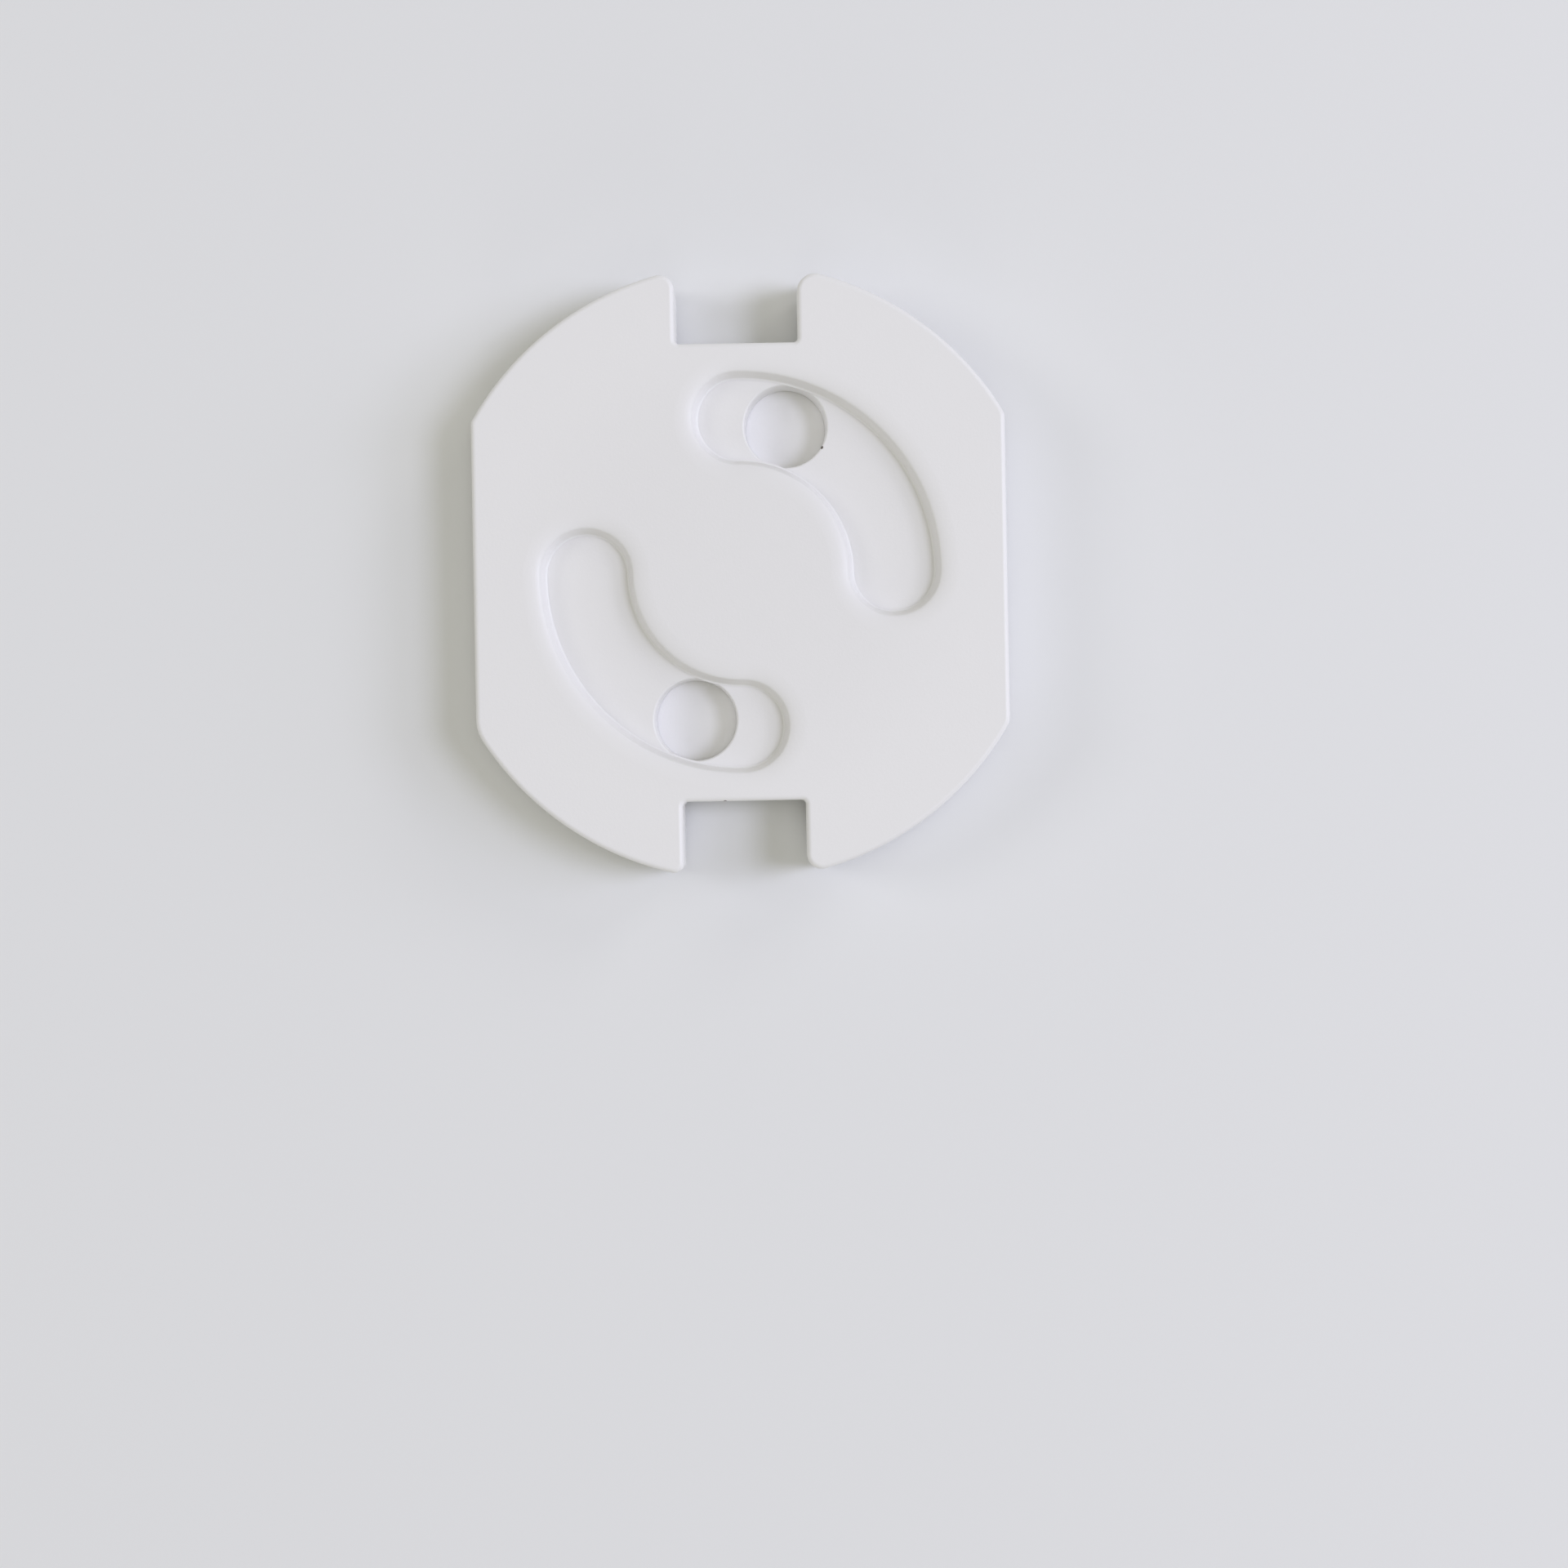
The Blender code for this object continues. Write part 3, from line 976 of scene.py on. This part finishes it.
@dataclass
class BackPlate(Piece):
    """The plate that closes the back, with contact holes, pivot, pegs and pockets for the tape."""

    name: str = "rear_plate"
    node: str = "back_plate"
    body: Body = Body.HOUSING
    outline: Outline = field(default_factory=Outline)
    inset: float = 0.0014
    thickness: float = 0.00105
    pin_radius: float = PIN_RING
    contact_radius: float = 0.0030
    lead_in: float = 0.0003
    pivot_radius: float = 0.0015
    peg_radius: float = 0.0006
    peg_height: float = 0.0014
    pocket_depth: float = 0.0003
    edge_round: float = 0.00012
    edge_segments: int = 3

    def face(self) -> float:
        """The height of the plate's inner face."""
        return self.low() + self.thickness

    def build(self, pegs: Iterable[Point], pockets: Iterable[Sequence[Arc]]) -> Solid:
        """Models the plate.

        Args:
            pegs: Where the pegs stand.
            pockets: The outlines of the pockets for the foam tape.

        Returns:
            The finished solid.
        """
        bottom, top = self.low(), self.face()
        plate = Solid.prism(self.name, self.outline.arcs(self.inset), bottom, top)
        pivot = Solid.bar("pivot", self.pivot_radius, top - OVERCUT, self.high(), AXIS)
        plate.combine(pivot, Cut.JOIN)
        for centre in pegs:
            peg = Solid.bar("peg", self.peg_radius, top - OVERCUT, top + self.peg_height, centre)
            plate.combine(peg, Cut.JOIN)
        narrow, wide = self.contact_radius, self.contact_radius + 2.0 * self.lead_in
        low, high = top - self.lead_in, top + self.lead_in
        for angle in BOTH_SIDES:
            centre = polar(self.pin_radius, angle)
            hole = Solid.bar("contact_hole", narrow, bottom - OVERCUT, top + OVERCUT, centre)
            plate.combine(hole, Cut.REMOVE)
            cone = Solid.bar("lead_in", narrow, low, high, centre, top_radius=wide)
            plate.combine(cone, Cut.REMOVE)
        for arcs in pockets:
            pocket = Solid.prism("pocket", arcs, bottom - OVERCUT, bottom + self.pocket_depth)
            plate.combine(pocket, Cut.REMOVE)
        plate.round_edges(self.edge_round, self.edge_segments, at_height(bottom))
        return plate.shade()


@dataclass
class FoamPad(Piece):
    """A crescent of double-sided foam tape."""

    name: str = "foam_pad"
    node: str = "adhesive_pad_upper"
    body: Body = Body.HOUSING
    middle: float = math.pi / 2.0
    radius: float = 0.0101
    width: float = 0.0040
    half_spread: float = math.radians(40.0)
    pocket_gap: float = 0.0003
    edge_round: float = 0.00018
    edge_segments: int = 4

    def arcs(self, grow: float = 0.0) -> list[Arc]:
        """The pad's outline, or one that runs outside it."""
        start, end = self.middle - self.half_spread, self.middle + self.half_spread
        return kidney(self.radius, self.width / 2.0 + grow, start, end)

    def build(self) -> Solid:
        """Models the pad, soft at its edges."""
        bottom, top = self.low(), self.high()
        pad = Solid.prism(self.name, self.arcs(), bottom, top)
        pad.round_edges(self.edge_round, self.edge_segments, at_height(bottom, top))
        return pad.shade()


@dataclass(frozen=True)
class SoftLamp:
    """A round soft lamp that faces the cover.

    The level is the brightness that it gives a plain white floor, where 1 is white.
    """

    name: str
    level: float
    bearing: float
    elevation: float
    size: float
    distance: float = 1.6
    colour: tuple[float, float, float] = (1.0, 1.0, 1.0)

    def hang(self) -> bpy.types.Object:
        """Adds the lamp to the scene.

        Returns:
            The lamp's object.
        """
        data = bpy.data.lights.new(self.name, "AREA")
        data.shape = "DISK"
        data.size = self.size
        data.color = self.colour
        data.energy = self.level * (math.pi * self.distance) ** 2 / math.sin(self.elevation)
        lamp = bpy.data.objects.new(self.name, data)
        bpy.context.scene.collection.objects.link(lamp)
        flat = math.cos(self.elevation)
        towards = Vector(
            (flat * math.cos(self.bearing), flat * math.sin(self.bearing), math.sin(self.elevation))
        )
        lamp.location = towards * self.distance
        lamp.rotation_euler = towards.to_track_quat("Z", "Y").to_euler()
        return lamp


@dataclass
class Studio:
    """The floor, the soft lamps and the camera above."""

    frame_pixels: float = 1920.0
    centre_pixel: tuple[float, float] = (906.5, 700.0)
    pixels_per_metre: float = 19900.0
    camera_height: float = 0.175
    roll: float = math.radians(-1.05)
    floor_half_size: float = 3.0
    near_clip: float = 0.005
    floor_colour: tuple[float, float, float] = (0.830, 0.838, 0.830)
    floor_roughness: float = 0.55
    lamps: tuple[SoftLamp, ...] = (
        SoftLamp("key", 0.199, math.radians(2.0), math.radians(57.0), 0.55, colour=KEY_COLOUR),
        SoftLamp("low_key", 0.091, math.radians(3.0), math.radians(36.0), 0.55, colour=KEY_COLOUR),
        SoftLamp("rake", 0.023, math.radians(10.0), math.radians(18.0), 0.50, colour=KEY_COLOUR),
        SoftLamp("upper_right", 0.038, math.radians(45.0), math.radians(28.0), 0.60),
        SoftLamp("left", 0.078, math.radians(168.0), math.radians(36.0), 0.60, colour=LEFT_COLOUR),
        SoftLamp("front", 0.020, math.radians(-90.0), math.radians(55.0), 0.60),
        SoftLamp("low_front", 0.017, math.radians(-90.0), math.radians(20.0), 0.50),
        SoftLamp("overhead", 0.033, 0.0, math.radians(86.0), 0.56),
    )
    sky_strength: float = 0.352
    sky_colour: tuple[float, float, float] = (1.04, 1.01, 0.86)

    def camera(self, face_height: float) -> None:
        """Puts the camera straight above the place that the middle of the frame shows.

        Args:
            face_height: The height of the cover's face, at which the pixel scale holds.
        """
        middle = self.frame_pixels / 2.0
        across = (middle - self.centre_pixel[0]) / self.pixels_per_metre
        along = (self.centre_pixel[1] - middle) / self.pixels_per_metre
        place = Matrix.Rotation(self.roll, 3, "Z") @ Vector((across, along, 0.0))
        data = bpy.data.cameras.new("camera")
        data.sensor_fit = "HORIZONTAL"
        data.lens = (
            data.sensor_width * self.camera_height * self.pixels_per_metre / self.frame_pixels
        )
        data.clip_start = self.near_clip
        camera = bpy.data.objects.new("camera", data)
        bpy.context.scene.collection.objects.link(camera)
        camera.location = (place.x, place.y, face_height + self.camera_height)
        camera.rotation_euler = (0.0, 0.0, self.roll)
        bpy.context.scene.camera = camera

    def floor(self) -> None:
        """Lays a plain pale floor."""
        mesh = bmesh.new()
        bmesh.ops.create_grid(mesh, x_segments=1, y_segments=1, size=self.floor_half_size)
        floor = Solid("floor", mesh).object
        made, bench = blank_material("floor_paper")
        bench.principled(
            {"Base Color": (*self.floor_colour, 1.0), "Roughness": self.floor_roughness}
        )
        floor.data.materials.append(made)

    def light(self) -> None:
        """Hangs the lamps under an even sky."""
        for lamp in self.lamps:
            lamp.hang()
        world = bpy.data.worlds.new("sky")
        world.use_nodes = True
        bpy.context.scene.world = world
        bench = NodeBench(world.node_tree)
        glow = {"Color": (*self.sky_colour, 1.0), "Strength": self.sky_strength}
        sky = bench.node("ShaderNodeBackground", {}, glow)
        bench.node("ShaderNodeOutputWorld", {}, {"Surface": sky.out("Background")})


def finishes() -> dict[Slot, MouldedPlastic | FoamTape]:
    """The finish of each material slot."""
    shell = MouldedPlastic(slot=Slot.SHELL, colour=(0.870, 0.866, 0.852))
    notch_speck = Speck(centre=(-0.00119, -0.01405, 0.00495), radius=0.00014)
    hole_speck = Speck(centre=(0.00516, 0.00770, 0.00398), radius=0.00013)
    return {
        Slot.SHELL: replace(shell, specks=(notch_speck,)),
        Slot.SHUTTER: replace(shell, slot=Slot.SHUTTER, specks=(hole_speck,)),
        # Painted light: the plate is painted paler than the shell, so the floor seen through the
        # pin holes looks lighter.
        Slot.PLATE: replace(shell, slot=Slot.PLATE, colour=(0.930, 0.926, 0.908)),
        Slot.FOAM: FoamTape(),
    }


def main() -> None:
    """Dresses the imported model, and sets up the floor, the light and the camera."""
    logging.basicConfig(level=logging.INFO, format="%(message)s")
    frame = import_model()
    LOG.info("packed nodes: %s", sorted(frame["nodes"]))
    finish = finishes()
    face, disc, plate = FaceMoulding(), TurningDisc(), BackPlate()
    pads = [
        FoamPad(name="foam_pad_upper", node="adhesive_pad_upper", middle=math.pi / 2.0),
        FoamPad(name="foam_pad_lower", node="adhesive_pad_lower", middle=-math.pi / 2.0),
    ]
    disc_top = disc.face(face.high())
    face.place(face.build(disc_top, plate.face()), finish[Slot.SHELL])
    disc.place(disc.build(disc_top, plate.face()), finish[Slot.SHUTTER])
    pockets = [pad.arcs(pad.pocket_gap) for pad in pads]
    plate.place(plate.build(face.bosses(), pockets), finish[Slot.PLATE])
    for pad in pads:
        pad.place(pad.build(), finish[Slot.FOAM])
    studio = Studio()
    studio.camera(face.high())
    studio.floor()
    studio.light()
    bpy.context.scene.view_settings.view_transform = "Standard"


if __name__ == "__main__":
    main()
